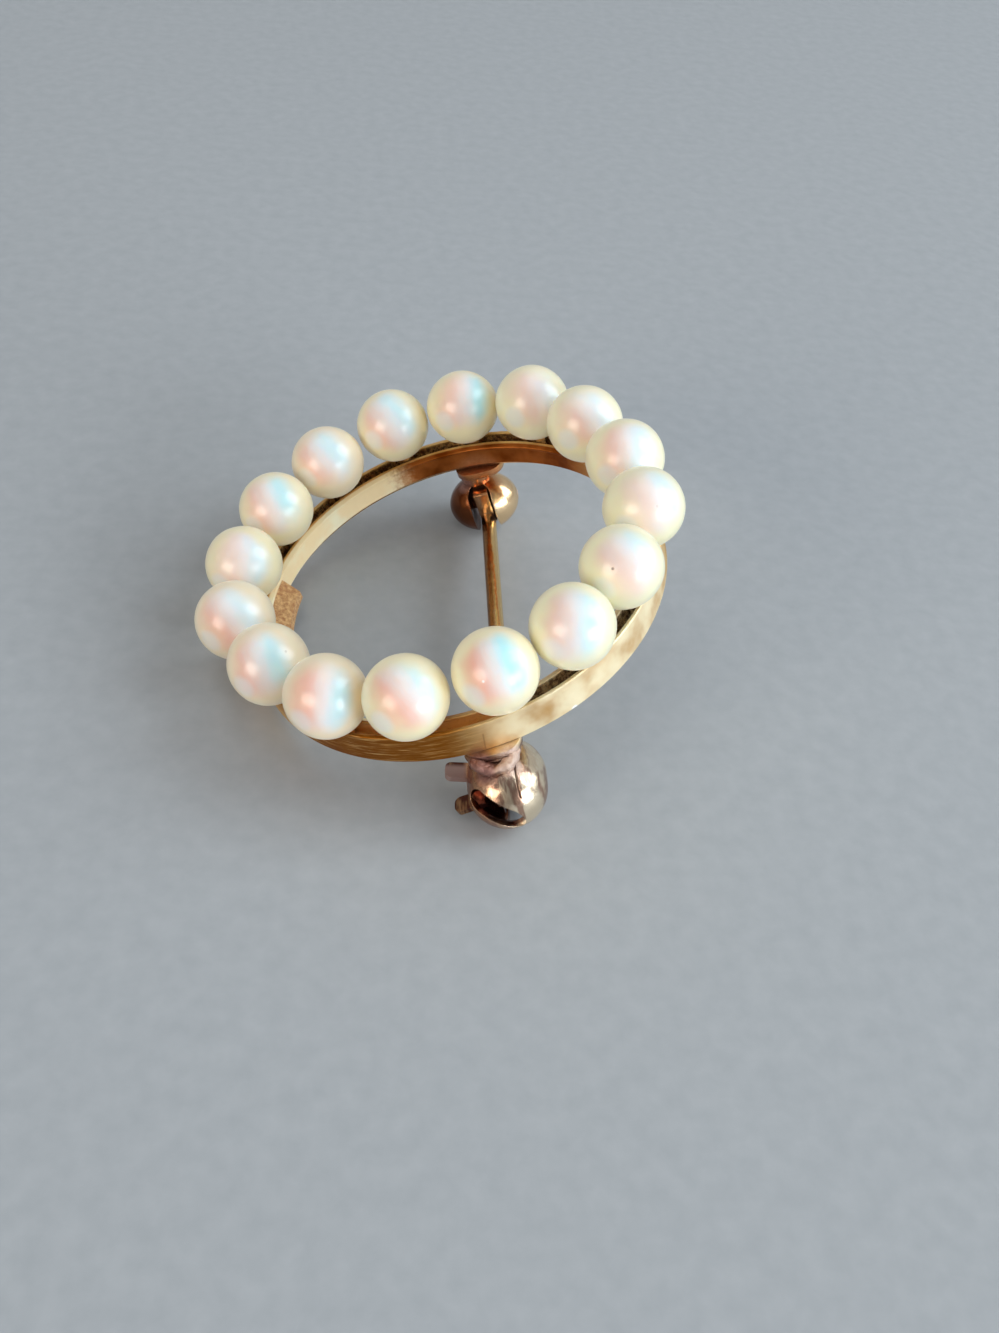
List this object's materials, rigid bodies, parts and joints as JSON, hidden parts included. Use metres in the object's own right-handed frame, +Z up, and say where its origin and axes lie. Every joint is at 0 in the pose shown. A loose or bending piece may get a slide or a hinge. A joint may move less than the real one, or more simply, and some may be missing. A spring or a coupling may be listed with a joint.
{
  "type": "pearl circle brooch",
  "caption": "Round openwork brooch: a ring of pearls on pegs in a gold channel band, with a hinged pin behind it that a turning sleeve locks in a barrel catch.",
  "frame": {"origin": "on the surface the brooch lies on, under the middle of its outline", "axes": "+Z up from the surface, +Y along the pin from its catch to its hinge, +X towards the raised side of the ring"},
  "size_m": [0.0262, 0.0284, 0.0149],
  "materials": {
    "gold_band": "satin, worn yellow-rose gold",
    "gold_fittings": "polished yellow-rose gold",
    "pearl": "lustrous cream with a pink sheen"
  },
  "bodies": {
    "brooch": {"ring_frame": "gold_band", "hinge_rivet": "gold_fittings", "pearl_01": "pearl", "pearl_02": "pearl", "pearl_03": "pearl", "pearl_04": "pearl", "pearl_05": "pearl", "pearl_06": "pearl", "pearl_07": "pearl", "pearl_08": "pearl", "pearl_09": "pearl", "pearl_10": "pearl", "pearl_11": "pearl", "pearl_12": "pearl", "pearl_13": "pearl", "pearl_14": "pearl", "pearl_15": "pearl", "pearl_16": "pearl"},
    "pin": {"pin_stem": "gold_fittings"},
    "rotor": {"catch_rotor": "gold_fittings"}
  },
  "joints": [
    {"name": "pin_hinge", "type": "hinge", "parent": "brooch", "child": "pin", "pos_m": [0.00378, 0.01201, 0.00196], "axis": [0.9351, 0, 0.3544], "range_deg": [0, 90]},
    {"name": "catch_turn", "type": "hinge", "parent": "brooch", "child": "rotor", "pos_m": [0.00406, -0.01216, 0.00215], "axis": [0, 1, 0], "range_deg": [0, 25]}
  ]
}
